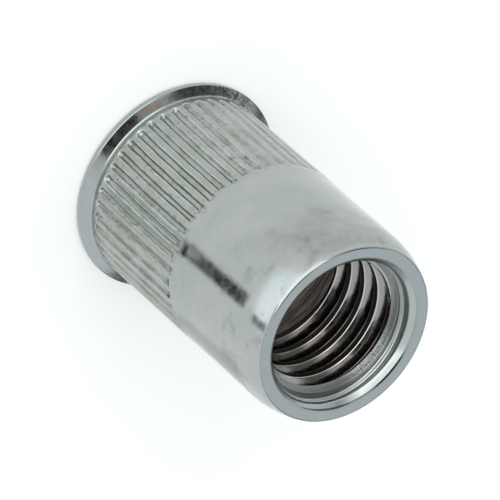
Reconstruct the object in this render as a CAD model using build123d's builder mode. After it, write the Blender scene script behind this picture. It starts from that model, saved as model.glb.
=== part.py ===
from build123d import *
from math import asin, degrees, radians, tan
import os

os.makedirs("parts", exist_ok=True)

# Rivet nut for a 10 mm thread, formed and tapped as one piece of steel.
# It stands on its flange: the flange's flat face is at z = 0 and the threaded end is at the top.
# All sizes are in millimetres and degrees.

# Thread and walls
thread_diameter = 10.0
thread_height = 0.7  # from the crests in the bore out to the roots
thread_wall = 1.45  # metal outside the thread's roots
skirt_wall = 0.95  # thinner wall below the thread, which folds when the nut is set

# Lengths along the axis
overall_length = 20.0
threaded_length = 8.5  # from the end face down to the foot of the wide bore
drill_point_angle = 118.0  # cone between the wide bore and the tapped hole

# Flange
flange_overhang = 0.65
rim_height = 0.55
rim_chamfer = 0.3  # edge beside the flat face
flare_height = 0.4  # cone from the rim to the shank
skirt_mouth_break = 0.3  # edge of the wide bore in the flat face

# Ribbed band: straight grooves pressed into a band that stands a little proud of the shank
collar_height = 0.3  # plain ring between the flare and the grooves
groove_count = 46
first_groove_angle = -90.0  # from +X, so one groove lies at -Y
groove_length = 9.05
groove_width = 0.5
groove_depth = 0.18
groove_wall_angle = 28.0  # lean of the groove's walls from upright
groove_ramp = 0.2  # slope at the top end of each groove, along the axis
band_rise = 0.03
band_margin = 0.2  # plain ring above the grooves
band_run_out = 0.6  # cone from the band to the plain shank

# Threaded end
corner_length = 2.4  # rounded corner, along the axis
corner_depth = 0.55  # rounded corner, across the end face
corner_bevel = 0.15  # small bevel where the corner meets the end face
mouth_clearance = 0.25  # entry chamfer beyond the thread's roots
mouth_angle = 25.0  # entry chamfer, from the axis
mouth_depth = 1.05  # plain entry as wide as the thread's roots, from the end face
lead_angle = 45.0  # cone from the plain entry to the crests

# Radii
thread_radius = thread_diameter / 2
tapped_radius = thread_radius - thread_height
shank_radius = thread_radius + thread_wall
skirt_bore_radius = shank_radius - skirt_wall
band_radius = shank_radius + band_rise
flange_radius = shank_radius + flange_overhang
mouth_radius = thread_radius + mouth_clearance

# Levels above the flange's flat face
flare_foot_level = rim_height + flare_height
groove_foot_level = flare_foot_level + collar_height
groove_top_level = groove_foot_level + groove_length
band_top_level = groove_top_level + band_margin
shank_foot_level = band_top_level + band_run_out
corner_level = overall_length - corner_length
skirt_bore_level = overall_length - threaded_length
tapped_foot_level = skirt_bore_level + (skirt_bore_radius - tapped_radius) / tan(radians(drill_point_angle / 2))
chamfer_level = overall_length - mouth_clearance / tan(radians(mouth_angle))
mouth_level = overall_length - mouth_depth
lead_level = mouth_level - thread_height / tan(radians(lead_angle))

# Rounded corner: an arc that leaves the shank smoothly, then the bevel
face_radius = shank_radius - corner_depth
arc_run = corner_length - corner_bevel
arc_drop = corner_depth - corner_bevel
corner_radius = (arc_run**2 + arc_drop**2) / (2 * arc_drop)
corner_turn = degrees(asin(arc_run / corner_radius))

# Groove cutter at angle 0: a channel with leaning walls, rounded off towards the flange and ramped at its top
lean = tan(radians(groove_wall_angle))
cutter_overcut = 1.5 * groove_depth  # height of the cutter above the band
floor_radius = band_radius - groove_depth
cutter_radius = band_radius + cutter_overcut
floor_half_width = groove_width / 2 - groove_depth * lean
cutter_half_width = groove_width / 2 + cutter_overcut * lean
round_end_level = groove_foot_level + groove_width / 2

with BuildPart() as groove_cutter:
    with BuildSketch(Plane.XY.offset(round_end_level)):
        with BuildLine():
            Polyline(
                (floor_radius, -floor_half_width),
                (cutter_radius, -cutter_half_width),
                (cutter_radius, cutter_half_width),
                (floor_radius, floor_half_width),
                close=True,
            )
        make_face()
    extrude(amount=groove_top_level + groove_ramp - round_end_level)
    top_edges = groove_cutter.edges().filter_by(Axis.Y).group_by(Axis.Z)[-1]
    floor_end = top_edges.sort_by(Axis.X)[0]
    top_face = groove_cutter.faces().sort_by(Axis.Z)[-1]
    chamfer(floor_end, length=2 * groove_depth, length2=2 * groove_ramp, reference=top_face)
    with BuildSketch(Plane.XY.offset(round_end_level)):
        with BuildLine():
            Polyline(
                (floor_radius, 0),
                (cutter_radius, 0),
                (cutter_radius, cutter_half_width),
                (floor_radius, floor_half_width),
                close=True,
            )
        make_face()
    revolve(axis=Axis((0, 0, round_end_level), (1, 0, 0)))

# Body: one half section turned about the axis, then the ring of grooves cut into its band
with BuildPart() as rivet_nut:
    with BuildSketch(Plane.XZ):
        with BuildLine():
            outside = Polyline(
                (skirt_bore_radius + skirt_mouth_break, 0),
                (flange_radius - rim_chamfer, 0),
                (flange_radius, rim_chamfer),
                (flange_radius, rim_height),
                (band_radius, flare_foot_level),
                (band_radius, band_top_level),
                (shank_radius, shank_foot_level),
                (shank_radius, corner_level),
            )
            corner = JernArc(outside @ 1, (0, 1), corner_radius, corner_turn)
            Polyline(
                corner @ 1,
                (face_radius, overall_length),
                (mouth_radius, overall_length),
                (thread_radius, chamfer_level),
                (thread_radius, mouth_level),
                (tapped_radius, lead_level),
                (tapped_radius, tapped_foot_level),
                (skirt_bore_radius, skirt_bore_level),
                (skirt_bore_radius, skirt_mouth_break),
                outside @ 0,
            )
        make_face()
    revolve(axis=Axis.Z)
    with PolarLocations(0, groove_count, start_angle=first_groove_angle):
        add(groove_cutter.part, mode=Mode.SUBTRACT)

rivet_nut.part.label = "rivet_nut"
export_step(rivet_nut.part, "parts/rivet_nut.step")
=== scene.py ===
import random
from math import asin, atan2, cos, floor, hypot, pi, radians, sin, tan

import bpy
from mathutils import Matrix, Vector


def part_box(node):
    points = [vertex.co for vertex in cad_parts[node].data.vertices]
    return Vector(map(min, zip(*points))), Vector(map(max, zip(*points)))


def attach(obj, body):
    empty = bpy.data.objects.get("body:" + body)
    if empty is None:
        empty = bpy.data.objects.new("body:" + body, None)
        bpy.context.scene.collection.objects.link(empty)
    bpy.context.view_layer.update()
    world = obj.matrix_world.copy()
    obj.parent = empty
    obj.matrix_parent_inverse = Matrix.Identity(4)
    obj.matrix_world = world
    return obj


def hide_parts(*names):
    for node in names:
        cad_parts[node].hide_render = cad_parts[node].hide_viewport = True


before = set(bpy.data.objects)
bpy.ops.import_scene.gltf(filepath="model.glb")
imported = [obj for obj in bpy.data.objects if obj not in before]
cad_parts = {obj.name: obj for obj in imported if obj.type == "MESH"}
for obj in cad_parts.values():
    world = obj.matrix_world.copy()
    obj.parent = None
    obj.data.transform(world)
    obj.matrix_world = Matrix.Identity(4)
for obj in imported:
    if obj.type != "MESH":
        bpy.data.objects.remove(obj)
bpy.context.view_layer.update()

mm = 0.001  # the sizes below are in millimetres, Blender's are in metres

nutLow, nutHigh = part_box("rivet_nut")
nutLength = (nutHigh[2] - nutLow[2]) / mm
flangeRadius = (nutHigh[0] - nutLow[0]) / 2 / mm
print("solid model loaded: length", round(nutLength, 2), "flange radius", round(flangeRadius, 2))


# Camera: a long lens that looks down on the threaded end, rolled so that the end points to the lower right
cameraSet = {
    "lens": 475.24,
    "sensor": 36.0,
    "distance": 405.1,  # from the middle of the nut, along the view
    "tilt": 45.025,  # between the nut's axis and the view
    "roll": 41.572,
    "right": -0.4487,  # shift that puts the nut where it is in the picture
    "up": 0.4529,
    "near": 10,
    "far": 5000,
}


def placeCamera():
    tilt, roll = radians(cameraSet["tilt"]), radians(cameraSet["roll"])
    right = Vector((-sin(roll), cos(tilt) * cos(roll), sin(tilt) * cos(roll)))
    up = Vector((-cos(roll), -cos(tilt) * sin(roll), -sin(tilt) * sin(roll)))
    back = Vector((0.0, -sin(tilt), cos(tilt)))
    spot = Vector((0.0, 0.0, nutLength / 2))
    spot += cameraSet["right"] * right + cameraSet["up"] * up + cameraSet["distance"] * back
    place = Matrix((right, up, back)).transposed().to_4x4()
    place.translation = spot * mm
    data = bpy.data.cameras.new("photoCamera")
    data.lens = cameraSet["lens"]
    data.sensor_width = cameraSet["sensor"]
    data.clip_start = cameraSet["near"] * mm
    data.clip_end = cameraSet["far"] * mm
    camera = bpy.data.objects.new("photoCamera", data)
    camera.matrix_world = place
    bpy.context.scene.collection.objects.link(camera)
    bpy.context.scene.camera = camera


placeCamera()
print("camera placed")


# Nut: the sizes of the solid model, with the small roundings and the thread that it leaves out
nutSizes = {
    "shankRadius": 6.45,
    "bandRise": 0.03,
    "rimHeight": 0.55,
    "rimRound": 0.35,
    "rimEdge": 0.08,
    "flareFoot": 0.95,
    "flareRound": 0.15,
    "bandTop": 10.5,
    "shankFoot": 11.1,
    "cornerLength": 2.4,
    "cornerDepth": 0.6,
    "cornerTip": 0.2,  # small rounding where the corner meets the end face
    "mouthRadius": 5.28,
    "mouthRound": 0.45,  # where the end face turns into the chamfer
    "mouthAngle": 45.0,  # entry chamfer, from the axis
    "entryRadius": 4.76,  # wide bore between the chamfer and the first full crest
    "entryAngle": 5.0,
    "entryFoot": 18.46,  # its foot, a ledge that is almost flat
    "ledgeAngle": 80.0,  # from the axis
    "wideRadius": 5.5,
    "wideTop": 11.5,
    "wideBreak": 0.3,
    "mouthBlend": 0.06,  # how far the mouth's surfaces blend into each other
    "threadBlend": 0.08,
    "drillBlend": 0.02,
    "drillAngle": 118.0,
    "columns": 240,
}

grooveSizes = {
    "count": 46,
    "first": -90.0,  # angle of the first groove from +X
    "foot": 1.35,
    "top": 10.25,
    "width": 0.5,
    "depth": 0.18,
    "wallAngle": 36.0,
    "ramp": 0.5,
    "round": 0.08,
    "bowlRound": 0.2,  # softer rounding in the hollow at the flange end
    "bowlLength": 0.6,
    "bowlDepth": 0.3,  # how much deeper it is, as a share
    "bowPeak": 0.4,  # the grooves bow sideways: degrees at bowLevel, less by bowFall per square millimetre
    "bowLevel": 7.8,
    "bowFall": 0.0264,
    "unevenness": 0.13,
    "waver": 0.055,  # the walls wander along each groove, as a share of its width
    "waverLength": 2.9,
    "waverShift": 1.3,  # of one wall against the other, in radians
    "wornFrom": -95.0,  # the grooves on this side are worn down; angles from -Y towards +X
    "wornTo": -37.0,
    "wornDepth": 0.55,
    "wornRound": 0.08,
    "seed": 11,
}

threadSizes = {
    "crestRadius": 4.3,
    "rootRadius": 5.0,
    "pitch": 1.5,
    "flankAngle": 30.0,
    "rootWidth": 0.25,
    "round": 0.08,
    "hand": -1,  # -1 turns as in the photograph, 1 is a standard right-hand thread
    "crestLevel": 18.42,  # middle of one crest, on the side away from the camera
}

# rows of the mesh, close together where the shape turns; distances in millimetres
meshRows = {
    "grooveFootFrom": 0.12,  # below the grooves' feet
    "grooveFootStep": 0.035,
    "grooveFootRows": 19,
    "grooveAbove": (0.65, 0.8),
    "grooveMiddleFrom": 1.0,  # above the feet
    "grooveMiddleTo": 0.8,  # below the tops
    "grooveMiddleRows": 9,
    "grooveTopFrom": (0.75, 0.62),  # below the tops
    "grooveTopStep": 0.075,
    "grooveTopRows": 11,
    "aroundCrestEdge": (-0.04, -0.015, 0.01, 0.035, 0.08, 0.18),
    "aroundRootEdge": (-0.12, -0.04, -0.01, 0.02, 0.06),
    "threadGap": 0.05,  # between the thread's last row and the ledge
    "ledgeFrom": 0.03,  # below the ledge's foot
    "ledgeStep": 0.01,
    "ledgeRows": 15,
    "entryStep": 0.05,
    "entryRows": 25,
    "chamferRow": 0.15,  # below the end face
}

boreMark, mouthMark = 1.0, 0.5  # what the finish reads on the inner surfaces
points, faces, grooveShare, boreShare = [], [], [], []


def addPoint(radius, angle, level, groove=0.0, bore=0.0):
    points.append((radius * cos(angle) * mm, radius * sin(angle) * mm, level * mm))
    grooveShare.append(groove)
    boreShare.append(bore)
    return len(points) - 1


def smoothMin(a, b, reach):
    share = max(reach - abs(a - b), 0.0) / reach
    return min(a, b) - share * share * reach / 4


def smoothMax(a, b, reach):
    return -smoothMin(-a, -b, reach)


def joinChains(a, b):
    # a and b are rows of (place along the row, point), joined from end to end
    i = j = 0
    beyond = (1e9, None)
    while i < len(a) - 1 or j < len(b) - 1:
        nextA = (a[i + 1] if i < len(a) - 1 else beyond)[0]
        nextB = (b[j + 1] if j < len(b) - 1 else beyond)[0]
        if abs(nextA - nextB) < 1e-6:
            faces.append((a[i][1], a[i + 1][1], b[j + 1][1], b[j][1]))
            i, j = i + 1, j + 1
        elif nextA < nextB:
            faces.append((a[i][1], a[i + 1][1], b[j][1]))
            i += 1
        else:
            faces.append((a[i][1], b[j + 1][1], b[j][1]))
            j += 1


def addRing(angles, radiusAt, level, bore=0.0, shift=0.0):
    ring = []
    for angle in angles:
        radius, groove = radiusAt(angle)
        ring.append((angle, addPoint(radius, angle + shift, level, groove, bore)))
    ring.append((angles[0] + 2 * pi, ring[0][1]))
    return ring


def roundedLine(corners, steps=5, hold=0.04):
    # corners are (radius, level, rounding)
    # each rounding becomes an arc with a point just before and just after it
    line = []
    for i, (r, z, rounding) in enumerate(corners):
        here = Vector((r, z))
        if rounding == 0:
            line.append((r, z))
            continue
        before = (Vector(corners[i - 1][:2]) - here).normalized()
        after = (Vector(corners[i + 1][:2]) - here).normalized()
        half = before.angle(after) / 2
        centre = here + (before + after).normalized() * rounding / sin(half)
        start = here + before * rounding / tan(half)
        end = here + after * rounding / tan(half)
        first = atan2(start.y - centre.y, start.x - centre.x)
        turn = atan2(end.y - centre.y, end.x - centre.x) - first
        turn = (turn + pi) % (2 * pi) - pi
        line.append(tuple(start + before * hold))
        for k in range(steps + 1):
            at = first + turn * k / steps
            line.append((centre.x + rounding * cos(at), centre.y + rounding * sin(at)))
        line.append(tuple(end + after * hold))
    return line


def cornerLine(longSteps=18, tipSteps=9):
    # from the shank over a long arc and a small one onto the end face
    s = nutSizes
    run = s["cornerLength"] - s["cornerTip"]
    drop = s["cornerDepth"] - s["cornerTip"]
    gap = (run * run + drop * drop) / (2 * drop)  # between the centres of the two arcs
    turn = asin(run / gap)
    longRadius = gap + s["cornerTip"]
    foot = nutLength - s["cornerLength"]
    line = []
    for k in range(longSteps + 1):
        at = turn * k / longSteps
        line.append((s["shankRadius"] - longRadius * (1 - cos(at)), foot + longRadius * sin(at)))
    centre = (s["shankRadius"] - s["cornerDepth"], nutLength - s["cornerTip"])
    for k in range(1, tipSteps + 1):
        at = turn + (pi / 2 - turn) * k / tipSteps
        line.append((centre[0] + s["cornerTip"] * cos(at), centre[1] + s["cornerTip"] * sin(at)))
    return line


def mouthLine(steps=6):
    # the arc from the end face into the chamfer
    s = nutSizes
    turn = pi / 2 - radians(s["mouthAngle"])
    centre = (s["mouthRadius"] + s["mouthRound"] * tan(turn / 2), nutLength - s["mouthRound"])
    line = []
    for k in range(steps + 1):
        at = pi / 2 + turn * k / steps
        line.append((centre[0] + s["mouthRound"] * cos(at), centre[1] + s["mouthRound"] * sin(at)))
    return line


# Grooves, pressed into the band; no two are quite alike
def makeGrooves():
    draw = random.Random(grooveSizes["seed"])
    uneven = grooveSizes["unevenness"]
    made = []
    for k in range(grooveSizes["count"]):
        turn = (360 * k / grooveSizes["count"] + 180) % 360 - 180
        worn = grooveSizes["wornFrom"] < turn < grooveSizes["wornTo"]
        depth = grooveSizes["depth"] * (grooveSizes["wornDepth"] if worn else 1)
        made.append({
            "round": grooveSizes["wornRound"] if worn else grooveSizes["round"],
            "phase": draw.uniform(0, 2 * pi),
            "width": grooveSizes["width"] * (1 + draw.uniform(-uneven, uneven)),
            "depth": depth * (1 + draw.uniform(-uneven, uneven)),
            "foot": grooveSizes["foot"] + draw.uniform(-uneven, uneven) * 0.5,
            "top": grooveSizes["top"] + draw.uniform(-uneven, uneven),
        })
    return made


def grooveDepth(groove, across, level):
    g = grooveSizes
    centreLevel = groove["foot"] + groove["width"] / 2
    away = hypot(across, min(level - centreLevel, 0.0))
    phase = groove["phase"] + (g["waverShift"] if across > 0 else 0.0)
    wander = g["waver"] * sin(2 * pi * level / g["waverLength"] + phase)
    wall = (groove["width"] * (1 + wander) / 2 - away) / tan(radians(g["wallAngle"]))
    ramp = (groove["top"] - level) * groove["depth"] / g["ramp"]
    bowl = 0.0
    if abs(across) < groove["width"] / 4:
        bowl = min(max(0.0, 1 - (level - groove["foot"]) / g["bowlLength"]), 1.0)
    rounding = groove["round"] + (g["bowlRound"] - groove["round"]) * bowl
    depth = smoothMin(min(wall, ramp), groove["depth"] * (1 + g["bowlDepth"] * bowl), rounding)
    return smoothMax(depth, 0.0, groove["round"])


def grooveBow(level):
    return radians(grooveSizes["bowPeak"] - grooveSizes["bowFall"] * (level - grooveSizes["bowLevel"]) ** 2)


def fineAngles(radius):
    # columns are close together at the walls of each groove
    half = grooveSizes["width"] / 2
    floorHalf = half - grooveSizes["depth"] * tan(radians(grooveSizes["wallAngle"]))
    wallSteps = [floorHalf * 0.45, floorHalf * 0.85, floorHalf, floorHalf + 0.025, (floorHalf + half) / 2]
    wallSteps += [half - 0.025, half, half + 0.03, half + 0.09]
    pitch = 2 * pi / grooveSizes["count"]
    angles = []
    for k in range(grooveSizes["count"]):
        middle = radians(grooveSizes["first"]) + pitch * k
        angles.append(middle)
        angles += [middle + s / radius for s in wallSteps]
        angles.append(middle + pitch / 2)
        angles += [middle + pitch - s / radius for s in reversed(wallSteps)]
    return angles


def outsideRings():
    s = nutSizes
    band = s["shankRadius"] + s["bandRise"]
    start = radians(grooveSizes["first"])
    plain = [start + 2 * pi * k / s["columns"] for k in range(s["columns"])]
    rings = []

    def plainRing(radius, level, bore=0.0):
        rings.append(addRing(plain, lambda angle: (radius, 0.0), level, bore))

    foot = roundedLine([
        (s["wideRadius"] + s["wideBreak"], 0.0, 0),
        (flangeRadius, 0.0, s["rimRound"]),
        (flangeRadius, s["rimHeight"], s["rimEdge"]),
        (band, s["flareFoot"], s["flareRound"]),
        (band, s["bandTop"], 0),
    ])
    for radius, level in foot[:-1]:
        plainRing(radius, level)

    grooves = makeGrooves()
    fine = fineAngles(band)
    pitch = 2 * pi / grooveSizes["count"]

    def grooved(level):
        def radiusAt(angle):
            place = (angle - start) / pitch
            across = (place - round(place)) * pitch * band
            depth = grooveDepth(grooves[round(place) % grooveSizes["count"]], across, level)
            return band - depth, depth / grooveSizes["depth"]
        return radiusAt

    foot, top = grooveSizes["foot"], grooveSizes["top"]
    rows = meshRows
    lowest = foot - rows["grooveFootFrom"]
    levels = [lowest + rows["grooveFootStep"] * k for k in range(rows["grooveFootRows"])]
    levels += [foot + above for above in rows["grooveAbove"]]
    count = rows["grooveMiddleRows"]
    run = top - foot - rows["grooveMiddleFrom"] - rows["grooveMiddleTo"]
    levels += [foot + rows["grooveMiddleFrom"] + run * k / count for k in range(count)]
    first, second = rows["grooveTopFrom"]
    levels += [top - first] + [top - second + rows["grooveTopStep"] * k for k in range(rows["grooveTopRows"])]
    for level in levels:
        rings.append(addRing(fine, grooved(level), level, shift=grooveBow(level)))

    runOut = s["shankFoot"] - s["bandTop"]
    plainRing(band, s["bandTop"] - 0.03)
    plainRing(band - 0.002, s["bandTop"] + 0.05)
    for k in range(1, 6):
        share = k / 6
        fall = s["bandRise"] * share * share * (3 - 2 * share)
        plainRing(band - fall, s["bandTop"] + 0.05 + runOut * share)
    cornerFoot = nutLength - s["cornerLength"]
    for k in range(7):
        plainRing(s["shankRadius"], s["shankFoot"] + 0.1 + (cornerFoot - s["shankFoot"] - 0.1) * k / 7)
    for radius, level in cornerLine():
        plainRing(radius, level)
    faceRadius = s["shankRadius"] - s["cornerDepth"]
    plainRing(faceRadius - 0.04, nutLength)
    for radius, level in mouthLine()[:-1]:
        plainRing(radius, level)
    return rings, plain


def mouthRadiusAt(level):
    # ledge, entry and chamfer, from the inside outwards
    s, t = nutSizes, threadSizes
    ledge = t["crestRadius"] + (level - s["entryFoot"]) * tan(radians(s["ledgeAngle"]))
    entry = s["entryRadius"] + (level - s["entryFoot"]) * tan(radians(s["entryAngle"]))
    chamfer = s["mouthRadius"] - (nutLength - level) * tan(radians(s["mouthAngle"]))
    return smoothMax(smoothMin(ledge, entry, s["mouthBlend"]), chamfer, s["mouthBlend"])


def threadRadius(level, angle):
    s, t = nutSizes, threadSizes
    crest = t["crestLevel"] + t["hand"] * t["pitch"] * (angle - pi / 2) / (2 * pi)
    off = (level - crest) / t["pitch"]
    off = abs(off - round(off)) * t["pitch"]  # distance along the axis from the nearest crest's middle
    flank = tan(radians(t["flankAngle"]))
    crestHalf = (t["pitch"] - t["rootWidth"]) / 2 - (t["rootRadius"] - t["crestRadius"]) * flank
    radius = t["crestRadius"] + (off - crestHalf) / flank
    radius = smoothMax(radius, t["crestRadius"], t["round"])
    radius = smoothMin(radius, t["rootRadius"], t["round"])
    drill = s["wideRadius"] - (level - s["wideTop"]) * tan(radians(s["drillAngle"] / 2))
    radius = smoothMax(radius, drill, s["drillBlend"])
    return smoothMax(radius, mouthRadiusAt(level), s["threadBlend"])


def threadRows():
    # levels from one crest's middle to the next, close together at the roundings
    t = threadSizes
    flankRun = (t["rootRadius"] - t["crestRadius"]) * tan(radians(t["flankAngle"]))
    crestHalf = (t["pitch"] - t["rootWidth"]) / 2 - flankRun
    foot = crestHalf + flankRun
    half = [crestHalf * 0.5] + [crestHalf + step for step in meshRows["aroundCrestEdge"]]
    half += [foot + step for step in meshRows["aroundRootEdge"]]
    return [0.0] + half + [t["pitch"] / 2] + [t["pitch"] - h for h in reversed(half)]


def addThread(plain, topRing, bottomRing):
    t = threadSizes
    rows = threadRows()
    low, high = nutSizes["wideTop"], nutSizes["entryFoot"] - meshRows["threadGap"]
    start = nutSizes["entryFoot"] - meshRows["ledgeFrom"]
    entry = [start + meshRows["ledgeStep"] * k for k in range(meshRows["ledgeRows"])]
    entry += [entry[-1] + meshRows["entryStep"] * k for k in range(1, meshRows["entryRows"] + 1)]
    entry += [nutLength - meshRows["chamferRow"]]
    columns = []
    for c, angle in enumerate(plain):
        crest = t["crestLevel"] + t["hand"] * t["pitch"] * (angle - pi / 2) / (2 * pi)
        column = [(-1e6, bottomRing[c][1])]
        first = floor((low - crest) / t["pitch"]) - 1
        for turnNumber in range(first, first + 9):
            for k, row in enumerate(rows):
                level = crest + turnNumber * t["pitch"] + row
                if low + 0.02 < level < high:
                    key = turnNumber * len(rows) + k
                    column.append((key, addPoint(threadRadius(level, angle), angle, level, 0.0, boreMark)))
        for k, level in enumerate(entry):
            column.append((1e6 + k, addPoint(threadRadius(level, angle), angle, level, 0.0, mouthMark)))
        column.append((1e6 + len(entry), topRing[c][1]))
        columns.append(column)
    shift = t["hand"] * len(rows)
    again = [(key if abs(key) > 1e5 else key - shift, p) for key, p in columns[0]]
    for a, b in zip(columns, columns[1:] + [again]):
        joinChains(a, b)


def makeNut():
    s = nutSizes
    rings, plain = outsideRings()
    for a, b in zip(rings, rings[1:]):
        joinChains(a, b)
    mouthRing, mouthLevel = mouthLine()[-1]
    mouth = addRing(plain, lambda angle: (mouthRing, 0.0), mouthLevel, mouthMark)
    joinChains(rings[-1], mouth)
    step = addRing(plain, lambda angle: (s["wideRadius"], 0.0), s["wideTop"], boreMark)
    addThread(plain, mouth, step)
    wideLength = s["wideTop"] - s["wideBreak"]
    levels = [s["wideTop"] - 0.03] + [s["wideTop"] - 0.1 - (wideLength - 0.15) * k / 7 for k in range(8)]
    last = step
    for level in levels + [s["wideBreak"]]:
        ring = addRing(plain, lambda angle: (s["wideRadius"], 0.0), level, boreMark)
        joinChains(last, ring)
        last = ring
    joinChains(last, rings[0])
    mesh = bpy.data.meshes.new("rivetNut")
    mesh.from_pydata(points, [], faces)
    mesh.update()
    mesh.polygons.foreach_set("use_smooth", [True] * len(mesh.polygons))
    for name, values in (("groove", grooveShare), ("bore", boreShare)):
        layer = mesh.attributes.new(name, "FLOAT", "POINT")
        layer.data.foreach_set("value", values)
    nut = bpy.data.objects.new("rivetNut", mesh)
    bpy.context.scene.collection.objects.link(nut)
    return nut


nut = makeNut()
triangles = sum(len(face) - 2 for face in faces)
print("nut made:", triangles, "triangles")


# Small helpers for the materials' nodes
class Nodes:
    def __init__(self, tree):
        self.tree = tree

    def add(self, kind, inputs=None, **settings):
        node = self.tree.nodes.new(kind)
        for name, value in settings.items():
            setattr(node, name, value)
        for socket, value in (inputs or {}).items():
            if isinstance(value, bpy.types.NodeSocket):
                self.tree.links.new(value, node.inputs[socket])
            else:
                node.inputs[socket].default_value = value
        return node

    def math(self, operation, a, b=0.0):
        return self.add("ShaderNodeMath", {0: a, 1: b}, operation=operation).outputs[0]

    def ramp(self, value, low, high, outLow=0.0, outHigh=1.0):
        inputs = {0: value, 1: low, 2: high, 3: outLow, 4: outHigh}
        return self.add("ShaderNodeMapRange", inputs, interpolation_type="SMOOTHSTEP").outputs[0]

    def product(self, first, *others):
        for other in others:
            first = self.math("MULTIPLY", first, other)
        return first

    def sum(self, first, *others):
        for other in others:
            first = self.math("ADD", first, other)
        return first

    def millimetres(self):
        place = self.add("ShaderNodeTexCoord").outputs["Object"]
        return self.add("ShaderNodeVectorMath", {0: place, "Scale": 1 / mm}, operation="SCALE").outputs[0]

    def stretched(self, where, factors):
        return self.add("ShaderNodeVectorMath", {0: where, 1: factors}, operation="MULTIPLY").outputs[0]

    def noise(self, where, scale, detail, roughness):
        inputs = {"Vector": where, "Scale": scale, "Detail": detail, "Roughness": roughness}
        return self.add("ShaderNodeTexNoise", inputs).outputs["Fac"]

    def mix(self, share, a, b):
        node = self.add("ShaderNodeMix", {"Factor": share}, data_type="RGBA")
        for socket, value in ((node.inputs[6], a), (node.inputs[7], b)):
            if isinstance(value, bpy.types.NodeSocket):
                self.tree.links.new(value, socket)
            else:
                socket.default_value = value
        return node.outputs[2]


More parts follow.
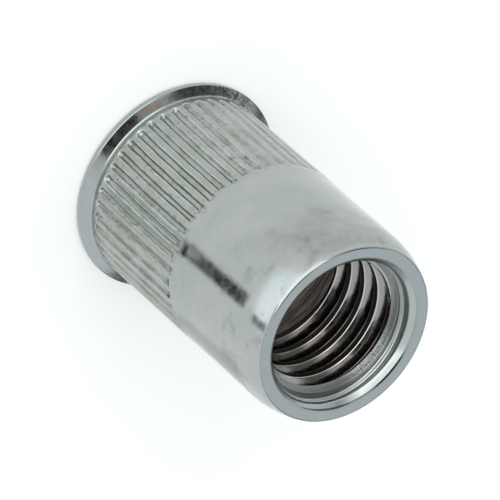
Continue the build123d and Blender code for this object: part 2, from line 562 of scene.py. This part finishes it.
# Finish: bright zinc plate with clouds and specks, stains, dirt, painted shade and highlights on the ribbed
# band, painted reflections on the flare, end face and crests, a darker patch on the threaded end, darker
# thread roots, and painted light and shade in the mouth.
# A noise is (scale per millimetre, detail, roughness). Every other pair of numbers is a range:
# the effect grows from the first to the second, which are levels, radii or other places in millimetres,
# or shares of a noise or of a groove's depth. Two further numbers are the strengths at its ends.
zincFinish = {
    "coolGrey": (0.372, 0.412, 0.394, 1.0),
    "paleGrey": (0.415, 0.436, 0.428, 1.0),
    "cloudNoise": (0.33, 3.0, 0.5),
    "cloudRange": (0.35, 0.65),
    "mottleNoise": (1.7, 4.0, 0.6),
    "speckNoise": (8.0, 2.0, 0.6),
    "fineNoise": (3.6, 4.0, 0.7),
    "lineNoise": (5.0, 3.0, 0.6),  # drawn lines along the band
    "ringNoise": (5.0, 2.0, 0.6),  # turned lines in the bore
    "lineStretch": 0.12,
    "mottleShade": 0.16,
    "speckShade": 0.10,
    # ribbed band
    "bandLow": (1.0, 1.5),
    "bandHigh": (10.6, 10.0),
    "leftSide": (-5.3, -3.4, 0.35, 1.0),  # less dirt, painted shade and painted highlight at both sides
    "rightSide": (5.6, 4.4, 0.4, 1.0),
    "olive": (0.29, 0.29, 0.20, 1.0),
    "stainNoise": (0.55, 6.0, 0.7),
    "stainRange": (0.40, 0.70),
    "stainInGroove": (0.2, 0.8, 0.45, 0.85),
    # grime and painted shade on the grooves' walls
    "wallGrimeAndShade": (0.15, 0.175, 0.16, 1.0),
    "wallTop": (10.1, 9.5),
    "wallNoise": (0.9, 5.0, 0.7),
    "wallRange": (0.38, 0.62, 0.1, 0.75),
    "edgeHighlight": (0.60, 0.64, 0.62, 1.0),  # painted highlights along the edges beside the grooves
    "edgeFrom": (0.004, 0.05),
    "edgeTo": (0.26, 0.12),
    "edgeTop": (9.9, 9.0, 0.0, 0.85),
    "edgeNoise": (1.3, 4.0, 0.6),
    "edgeRange": (0.38, 0.6, 0.25, 1.0),
    # dark grime for grit and smudges; also painted shade in the grooves' upper ends and painted dark
    # reflection on the flare
    "grimeAndShade": (0.075, 0.075, 0.06, 1.0),
    "gritLow": (1.1, 1.4),
    "gritHigh": (10.7, 10.3),
    "gritRange": (0.56, 0.68),
    "gritAmount": 0.75,
    "gritPatchNoise": (0.4, 3.0, 0.6),
    "gritPatchRange": (0.4, 0.6, 0.25, 1.0),
    # dirt and painted shade in the grooves' upper ends
    "endDirtAndShadeLow": (9.65, 9.9),
    "endDirtAndShadeHigh": (10.3, 10.1),
    "endDirtAndShadeDepth": (0.05, 0.4),
    "endDirtAndShadeRange": (0.5, 0.6),
    # flare: grit at its foot, a painted light reflection on one side and a painted dark reflection on a
    # stretch of it
    "flareGritLow": (0.5, 0.7),
    "flareGritHigh": (1.4, 1.1),
    "flareGritSide": (-1.5, -3.5),
    "flareLow": (0.5, 0.6),
    "flareHigh": (1.05, 0.95),
    # painted light reflection on the +X side of the flare
    "flareLightReflection": (0.47, 0.505, 0.50, 1.0),
    "flareLightReflectionSide": (2.0, 3.5),
    # painted dark reflection on a stretch of the flare
    "flareDarkReflectionSide": (-3.9, -4.9),
    "flareDarkReflectionOuter": (-5.9, -6.4, 0.6, 1.0),
    "flareDarkReflectionBack": (0.6, -0.8),
    "flareDarkReflectionRange": (0.40, 0.58, 0.15, 0.95),
    # threaded end: a darker patch on one side, a painted pale reflection on the end face, and smudges all
    # round
    # darker on the -X side of the threaded end, from level 14.5 up
    "darkPatchGrey": (0.26, 0.26, 0.245, 1.0),
    "darkPatchLow": (14.5, 16.8),
    "darkPatchHigh": (19.9, 19.5),
    "darkPatchSide": (0.8, -2.0),
    "darkPatchNoise": (0.5, 4.0, 0.6),
    "darkPatchRange": (0.35, 0.6, 0.2, 0.55),
    # painted pale bluish reflection on the end face
    "faceReflectionGrey": (0.41, 0.457, 0.462, 1.0),
    "faceFrom": (19.95, 19.99),
    "smudgeLow": (13.0, 18.0, 0.04, 0.26),
    "smudgeHigh": (19.95, 19.75),
    "smudgeNoise": (0.75, 3.0, 0.55),
    "smudgeRange": (0.52, 0.72),
    # bore: the ranges read boreMark and mouthMark
    "threadMark": (0.5, 1.0),
    "entryMarkFrom": (0.25, 0.45),
    "entryMarkTo": (0.75, 0.55),
    "boreGrey": (0.37, 0.375, 0.36, 1.0),
    "rootDark": (0.085, 0.07, 0.065, 1.0),  # darker towards the roots of the thread
    "rootDarkRadius": (4.62, 4.9),
    "rootDarkRange": (0.35, 0.65, 1.0, 0.6),
    "crestHighlight": (0.66, 0.64, 0.61, 1.0),  # painted highlight on the edges of the crests
    "crestEdge": (4.42, 4.34),
    "darkCrestReflectionAndLines": (0.20, 0.18, 0.17, 1.0),  # painted dark reflection on their flat tops; also the dark turned lines deep in the bore
    "crestTop": (4.306, 4.302),
    "deepGrey": (0.40, 0.35, 0.33, 1.0),  # drill cone and wide bore
    "deepFrom": (12.5, 12.3),
    "deepRange": (0.42, 0.58),
    # painted lighter tone in the mouth, on the entry and the chamfer
    "entryPaintedLight": (0.50, 0.545, 0.53, 1.0),
    "ledgeDarkAndCornerShade": (0.24, 0.25, 0.24, 1.0),  # dark torn metal on the ledge in the mouth, also painted shade in the corner above it
    # painted highlight on the ledge's torn specks, strongest near x = 0
    "ledgeHighlight": (0.78, 0.81, 0.80, 1.0),
    "ledgeTop": (18.58, 18.54),
    "tornNoise": (9.0, 3.0, 0.7),
    "tornRange": (0.36, 0.54),
    "tornSide": (2.4, 0.8, 0.12, 1.0),
    "cornerLow": (18.54, 18.58),  # painted shade in the corner above the ledge
    "cornerHigh": (18.92, 18.80),
    "cornerAmount": 0.5,
    "entryTop": (19.66, 19.54, 0.5, 1.0),
    # gloss
    "roughness": 0.11,
    "roughnessSpread": 0.09,
    "roughnessRange": (0.3, 0.7),
    "wallRoughness": 0.1,
    "entryRoughness": 0.2,
    "deepRoughness": 0.22,
    # heights of the fine relief, in millimetres
    "mottleHeight": 0.0035,
    "speckHeight": 0.0016,
    "lineHeight": 0.008,
    "gritHeight": 0.008,
    "ringHeight": 0.006,
    "deepHeight": 0.06,
    "ledgeHeight": 0.03,
}


def finishMaps(n):
    # places, noises and marks that the looks below share
    z = zincFinish
    where = n.millimetres()
    axes = n.add("ShaderNodeSeparateXYZ", {0: where}).outputs
    level = axes["Z"]
    flat = n.stretched(where, (1.0, 1.0, 0.0))
    along = z["lineStretch"]
    groove = n.add("ShaderNodeAttribute", attribute_name="groove").outputs["Fac"]
    bore = n.add("ShaderNodeAttribute", attribute_name="bore").outputs["Fac"]
    inThread = n.ramp(bore, *z["threadMark"])
    inEntry = n.product(n.ramp(bore, *z["entryMarkFrom"]), n.ramp(bore, *z["entryMarkTo"]))
    flareGrit = n.product(n.ramp(level, *z["flareGritLow"]), n.ramp(level, *z["flareGritHigh"]))
    flareGrit = n.product(flareGrit, n.ramp(axes["X"], *z["flareGritSide"]))
    bandGrit = n.product(n.ramp(level, *z["gritLow"]), n.ramp(level, *z["gritHigh"]))
    wall = n.product(groove, n.math("SUBTRACT", 1.0, groove), 4.0)  # 1 half-way down a groove's wall
    return {
        "where": where,
        "side": axes["X"],
        "behind": axes["Y"],
        "level": level,
        "radius": n.add("ShaderNodeVectorMath", {0: flat}, operation="LENGTH").outputs["Value"],
        "mottle": n.noise(where, *z["mottleNoise"]),
        "specks": n.noise(where, *z["speckNoise"]),
        "fine": n.noise(where, *z["fineNoise"]),
        "drawnLines": n.noise(n.stretched(where, (1.0, 1.0, along)), *z["lineNoise"]),
        "turnedLines": n.noise(n.stretched(where, (along, along, 1.0)), *z["ringNoise"]),
        "groove": groove,
        "wall": n.product(n.math("MAXIMUM", wall, 0.0), n.ramp(level, *z["wallTop"])),
        "band": n.product(n.ramp(level, *z["bandLow"]), n.ramp(level, *z["bandHigh"])),
        "gritty": n.math("MAXIMUM", flareGrit, bandGrit),
        "bore": bore,
        "inThread": inThread,
        "inEntry": inEntry,
        "deep": n.product(inThread, n.ramp(level, *z["deepFrom"])),
        "ledge": n.product(inEntry, n.ramp(level, *z["ledgeTop"])),
    }


def bandLook(n, m, colour):
    z = zincFinish
    level, groove, where = m["level"], m["groove"], m["where"]
    patchMask = n.product(m["band"], n.ramp(n.noise(where, *z["stainNoise"]), *z["stainRange"]))
    colour = n.mix(n.product(patchMask, n.ramp(groove, *z["stainInGroove"])), colour, z["olive"])
    sides = n.product(n.ramp(m["side"], *z["leftSide"]), n.ramp(m["side"], *z["rightSide"]))
    # grime and painted shade on the grooves' walls
    wallDirtAndShade = n.product(m["wall"], sides, n.ramp(n.noise(where, *z["wallNoise"]), *z["wallRange"]))
    colour = n.mix(wallDirtAndShade, colour, z["wallGrimeAndShade"])
    # painted highlights along the edges beside the grooves
    edge = n.product(n.ramp(groove, *z["edgeFrom"]), n.ramp(groove, *z["edgeTo"]), sides)
    edge = n.product(edge, n.ramp(n.noise(where, *z["edgeNoise"]), *z["edgeRange"]))
    edge = n.product(edge, n.ramp(level, *z["edgeTop"]))
    colour = n.mix(edge, colour, z["edgeHighlight"])
    # grit, more of it in patches
    grit = n.product(n.ramp(m["fine"], *z["gritRange"]), m["gritty"], z["gritAmount"])
    grit = n.product(grit, n.ramp(n.noise(where, *z["gritPatchNoise"]), *z["gritPatchRange"]))
    return n.mix(grit, colour, z["grimeAndShade"])


def flareLook(n, m, colour):
    z = zincFinish
    level, side = m["level"], m["side"]
    flare = n.product(n.ramp(level, *z["flareLow"]), n.ramp(level, *z["flareHigh"]))
    # painted light reflection on the +X side of the flare
    colour = n.mix(n.product(flare, n.ramp(side, *z["flareLightReflectionSide"])), colour, z["flareLightReflection"])
    # painted dark reflection on a stretch of the flare
    patchMask = n.product(flare, n.ramp(side, *z["flareDarkReflectionSide"]), n.ramp(side, *z["flareDarkReflectionOuter"]))
    patchMask = n.product(patchMask, n.ramp(m["behind"], *z["flareDarkReflectionBack"]))
    patchMask = n.product(patchMask, n.ramp(m["fine"], *z["flareDarkReflectionRange"]))
    return n.mix(patchMask, colour, z["grimeAndShade"])


def endLook(n, m, colour):
    z = zincFinish
    level, where = m["level"], m["where"]
    # dirt and painted shade in the grooves' upper ends, then the threaded end
    ends = n.product(n.ramp(level, *z["endDirtAndShadeLow"]), n.ramp(level, *z["endDirtAndShadeHigh"]))
    ends = n.product(ends, n.ramp(m["groove"], *z["endDirtAndShadeDepth"]), n.ramp(m["fine"], *z["endDirtAndShadeRange"]))
    colour = n.mix(ends, colour, z["grimeAndShade"])
    # darker on the -X side of the threaded end
    darkPatch = n.product(n.ramp(level, *z["darkPatchLow"]), n.ramp(level, *z["darkPatchHigh"]))
    darkPatch = n.product(darkPatch, n.ramp(m["side"], *z["darkPatchSide"]))
    darkPatch = n.product(darkPatch, n.ramp(n.noise(where, *z["darkPatchNoise"]), *z["darkPatchRange"]))
    colour = n.mix(darkPatch, colour, z["darkPatchGrey"])
    # painted pale bluish reflection on the end face
    colour = n.mix(n.ramp(level, *z["faceFrom"]), colour, z["faceReflectionGrey"])
    smudge = n.product(n.ramp(level, *z["smudgeLow"]), n.ramp(level, *z["smudgeHigh"]))
    smudge = n.product(n.ramp(n.noise(where, *z["smudgeNoise"]), *z["smudgeRange"]), smudge)
    return n.mix(smudge, colour, z["grimeAndShade"])


def boreLook(n, m, colour):
    z = zincFinish
    level, radius, inThread, inEntry = m["level"], m["radius"], m["inThread"], m["inEntry"]
    colour = n.mix(inThread, colour, z["boreGrey"])
    # painted lighter tone in the mouth
    colour = n.mix(inEntry, colour, z["entryPaintedLight"])
    # darker towards the roots of the thread
    rootDark = n.product(n.ramp(radius, *z["rootDarkRadius"]), inThread, n.ramp(m["fine"], *z["rootDarkRange"]))
    colour = n.mix(rootDark, colour, z["rootDark"])
    # painted highlight on the edges of the crests
    colour = n.mix(n.product(inThread, n.ramp(radius, *z["crestEdge"])), colour, z["crestHighlight"])
    # painted dark reflection on the crests' flat tops; the dark turned lines below use the same colour
    colour = n.mix(n.product(inThread, n.ramp(radius, *z["crestTop"])), colour, z["darkCrestReflectionAndLines"])
    rings = n.mix(n.ramp(m["turnedLines"], *z["deepRange"]), z["darkCrestReflectionAndLines"], z["deepGrey"])
    colour = n.mix(m["deep"], colour, rings)
    # torn specks on the ledge, with a painted highlight on them that is strongest near x = 0
    torn = n.ramp(n.noise(m["where"], *z["tornNoise"]), *z["tornRange"])
    torn = n.product(torn, n.ramp(n.math("ABSOLUTE", m["side"]), *z["tornSide"]))
    colour = n.mix(m["ledge"], colour, n.mix(torn, z["ledgeDarkAndCornerShade"], z["ledgeHighlight"]))
    # painted shade in the corner above the ledge
    corner = n.product(n.ramp(level, *z["cornerLow"]), n.ramp(level, *z["cornerHigh"]))
    corner = n.product(corner, inEntry, z["cornerAmount"])
    return n.mix(corner, colour, z["ledgeDarkAndCornerShade"])


def zincMaterial():
    z = zincFinish
    material = bpy.data.materials.new("zincPlatedSteel")
    material.use_nodes = True
    tree = material.node_tree
    n = Nodes(tree)
    shader = tree.nodes["Principled BSDF"]
    m = finishMaps(n)

    clouds = n.noise(m["where"], *z["cloudNoise"])
    colour = n.mix(n.ramp(clouds, *z["cloudRange"]), z["coolGrey"], z["paleGrey"])
    for look in (bandLook, flareLook, endLook, boreLook):
        colour = look(n, m, colour)
    shade = n.sum(
        n.product(m["mottle"], z["mottleShade"]),
        n.product(m["specks"], z["speckShade"]),
        1.0 - (z["mottleShade"] + z["speckShade"]) / 2,
    )
    colour = n.add("ShaderNodeVectorMath", {0: colour, "Scale": shade}, operation="SCALE").outputs[0]
    tree.links.new(colour, shader.inputs["Base Color"])

    rough = n.sum(
        n.product(n.ramp(m["mottle"], *z["roughnessRange"]), z["roughnessSpread"]),
        n.product(m["wall"], z["wallRoughness"]),
        n.product(m["inEntry"], n.ramp(m["level"], *z["entryTop"]), z["entryRoughness"]),
        n.product(m["deep"], z["deepRoughness"]),
        z["roughness"],
    )
    tree.links.new(rough, shader.inputs["Roughness"])

    ringHeight = n.sum(n.product(m["bore"], z["ringHeight"]), n.product(m["deep"], z["deepHeight"]))
    height = n.sum(
        n.product(m["mottle"], z["mottleHeight"]),
        n.product(m["specks"], z["speckHeight"]),
        n.product(m["drawnLines"], m["band"], z["lineHeight"]),
        n.product(m["fine"], m["gritty"], z["gritHeight"]),
        n.product(m["turnedLines"], ringHeight),
        n.product(m["specks"], m["ledge"], z["ledgeHeight"]),
    )
    bump = n.add("ShaderNodeBump", {"Height": height, "Distance": mm, "Strength": 1.0})
    tree.links.new(bump.outputs[0], shader.inputs["Normal"])
    shader.inputs["Metallic"].default_value = 1.0
    return material


nut.data.materials.append(zincMaterial())
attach(nut, "root")
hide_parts("rivet_nut")
print("finish made")


# Room: a pale floor, soft light all round, and cards that only the metal reflects
roomSet = {
    "floorSize": 3000,  # from the middle to each side
    "floorDrop": 0.01,  # below the flange, so that the two don't share one plane
    "floorColour": (0.8, 0.8, 0.8, 1.0),
    "floorRoughness": 0.9,
    "floorGlow": 0.28,  # lifts the floor to white for the camera and for reflections
    "worldColour": (0.95, 0.985, 1.0, 1.0),
    "worldStrength": 0.85,
    "patchNoise": (0.9, 3.0, 0.6),  # scale per millimetre, detail and roughness
    "patchRange": (0.35, 0.65),
}

# azimuth is measured from -Y towards +X, elevation above the floor, both in degrees
lampSets = {
    "frontPanel": {
        "azimuth": -10,
        "elevation": 27,
        "distance": 250,
        "width": 330,
        "height": 300,
        "strength": 1.2,
    },
}

# cards lie level; corners are seen from above and given as (x, y), colour is what shows in the metal
cardSets = {
    "overheadDark": {
        "level": 115,
        "corners": [(-46, -76), (36, -76), (34, -11), (-22, -11)],
        "colour": (0.02, 0.012, 0.018),
        "soft": 0.06,
    },
    "overheadBrown": {
        "level": 114,
        "corners": [(-42, -70), (-22, -6), (-58, -8), (-80, -40)],
        "colour": (0.55, 0.42, 0.35),
        "soft": 0.12,
    },
    "leftDark": {
        "level": 116,
        "corners": [(-210, 150), (-150, -60), (-50, -28), (-50, 20)],
        "colour": (0.15, 0.145, 0.14),
        "soft": 0.1,
    },
    "floorGap": {
        "level": 0.06,
        "corners": [(7.3, -14.3), (13.5, -23.4), (19.6, -18.0), (11.2, -11.3)],
        "colour": (0.05, 0.042, 0.048),
        "soft": 0.05,
        "patchy": 0.4,
    },
    "floorGapFar": {
        "level": 0.06,
        "corners": [(25, -29.2), (135, -143), (130, -103), (28.5, -24.7)],
        "colour": (0.09, 0.07, 0.085),
        "soft": 0.1,
    },
    "floorGapNear": {
        "level": 0.05,
        "corners": [(2.9, -7.4), (7.9, -14.2), (12.9, -9.1), (5.0, -5.9)],
        "colour": (0.68, 0.72, 0.70),
        "soft": 0.12,
    },
    "frontFloor": {
        "level": 0.03,
        "corners": [(-12, -30), (22, -25), (330, -300), (-115, -300)],
        "colour": (1.62, 1.70, 1.78),
        "soft": 0.06,
    },
    "rightFloor": {
        "level": 0.04,
        "corners": [(7, -2.5), (26, 7), (15, 22), (7, 0.5)],
        "colour": (0.72, 0.76, 0.76),
        "soft": 0.2,
    },
    "backFloor": {
        "level": 0.03,
        "corners": [(-900, 35), (900, 35), (900, 2500), (-900, 2500)],
        "colour": (0.10, 0.10, 0.11),
        "soft": 0.01,
    },
    "backHigh": {
        "level": 90,
        "corners": [(-600, 260), (600, 260), (900, 1200), (-900, 1200)],
        "colour": (0.15, 0.15, 0.16),
        "soft": 0.05,
    },
}


def link(thing):
    bpy.context.scene.collection.objects.link(thing)


def isSeenNodes(n):
    # 1 for the camera, for reflections and for what is seen through something clear
    path = n.add("ShaderNodeLightPath")
    seen = n.math("MAXIMUM", path.outputs["Is Camera Ray"], path.outputs["Is Glossy Ray"])
    return n.math("MAXIMUM", seen, path.outputs["Is Transmission Ray"])


def paleFloor():
    size = roomSet["floorSize"] * mm
    mesh = bpy.data.meshes.new("floor")
    corners = [(-size, -size, 0), (size, -size, 0), (size, size, 0), (-size, size, 0)]
    mesh.from_pydata(corners, [], [(0, 1, 2, 3)])
    floorPlane = bpy.data.objects.new("floor", mesh)
    floorPlane.location.z = -roomSet["floorDrop"] * mm
    material = bpy.data.materials.new("paleFloor")
    material.use_nodes = True
    n = Nodes(material.node_tree)
    shader = material.node_tree.nodes["Principled BSDF"]
    shader.inputs["Base Color"].default_value = roomSet["floorColour"]
    shader.inputs["Roughness"].default_value = roomSet["floorRoughness"]
    shader.inputs["Specular IOR Level"].default_value = 0.0
    shader.inputs["Emission Color"].default_value = (1.0, 1.0, 1.0, 1.0)
    glow = n.math("MULTIPLY", isSeenNodes(n), roomSet["floorGlow"])
    material.node_tree.links.new(glow, shader.inputs["Emission Strength"])
    mesh.materials.append(material)
    link(floorPlane)


def softWorld():
    world = bpy.data.worlds.new("studio")
    bpy.context.scene.world = world
    world.use_nodes = True
    background = world.node_tree.nodes["Background"]
    background.inputs["Color"].default_value = roomSet["worldColour"]
    background.inputs["Strength"].default_value = roomSet["worldStrength"]


def aimed(azimuth, elevation, distance):
    a, e = radians(azimuth), radians(elevation)
    away = Vector((sin(a) * cos(e), -cos(a) * cos(e), sin(e)))
    place = away.to_track_quat("Z", "Y").to_matrix().to_4x4()
    place.translation = (Vector((0, 0, nutLength / 2)) + away * distance) * mm
    return place


def makeLamp(name, values):
    data = bpy.data.lights.new(name, "AREA")
    data.shape = "RECTANGLE"
    data.size = values["width"] * mm
    data.size_y = values["height"] * mm
    # a lamp's radiance is its power over pi times its area
    data.energy = values["strength"] * pi * data.size * data.size_y
    lamp = bpy.data.objects.new(name, data)
    lamp.matrix_world = aimed(values["azimuth"], values["elevation"], values["distance"])
    lamp.visible_camera = False
    link(lamp)


def makeCard(name, values):
    level = values["level"] * mm
    mesh = bpy.data.meshes.new(name)
    mesh.from_pydata([(x * mm, y * mm, level) for x, y in values["corners"]], [], [(0, 1, 2, 3)])
    shares = mesh.uv_layers.new(name="shares")
    for loop, share in zip(shares.data, ((0, 0), (1, 0), (1, 1), (0, 1))):
        loop.uv = share
    card = bpy.data.objects.new(name, mesh)
    material = bpy.data.materials.new(name)
    material.use_nodes = True
    tree = material.node_tree
    n = Nodes(tree)
    tree.nodes.remove(tree.nodes["Principled BSDF"])
    across = n.add("ShaderNodeSeparateXYZ", {0: n.add("ShaderNodeUVMap", uv_map="shares").outputs[0]})
    # a patchy card has frayed edges
    patches = n.noise(n.millimetres(), *roomSet["patchNoise"])
    frayed = n.ramp(patches, *roomSet["patchRange"], 0.0, values.get("patchy", 0.0) / 2)
    inside = 1.0
    for axis in ("X", "Y"):
        fromEdge = n.math("PINGPONG", across.outputs[axis], 0.5)
        inside = n.product(n.ramp(n.math("SUBTRACT", fromEdge, frayed), 0.0, values["soft"]), inside)
    clear = n.add("ShaderNodeBsdfTransparent")
    glow = n.add("ShaderNodeEmission", {"Color": (*values["colour"], 1.0), "Strength": 1.0})
    both = n.add("ShaderNodeMixShader", {0: inside, 1: clear.outputs[0], 2: glow.outputs[0]})
    tree.links.new(both.outputs[0], tree.nodes["Material Output"].inputs["Surface"])
    mesh.materials.append(material)
    for kind in ("camera", "diffuse", "transmission", "volume_scatter", "shadow"):
        setattr(card, "visible_" + kind, False)
    link(card)


paleFloor()
softWorld()
for name, values in lampSets.items():
    makeLamp(name, values)
for name, values in cardSets.items():
    makeCard(name, values)
bpy.context.scene.view_settings.view_transform = "Standard"
print("room made")
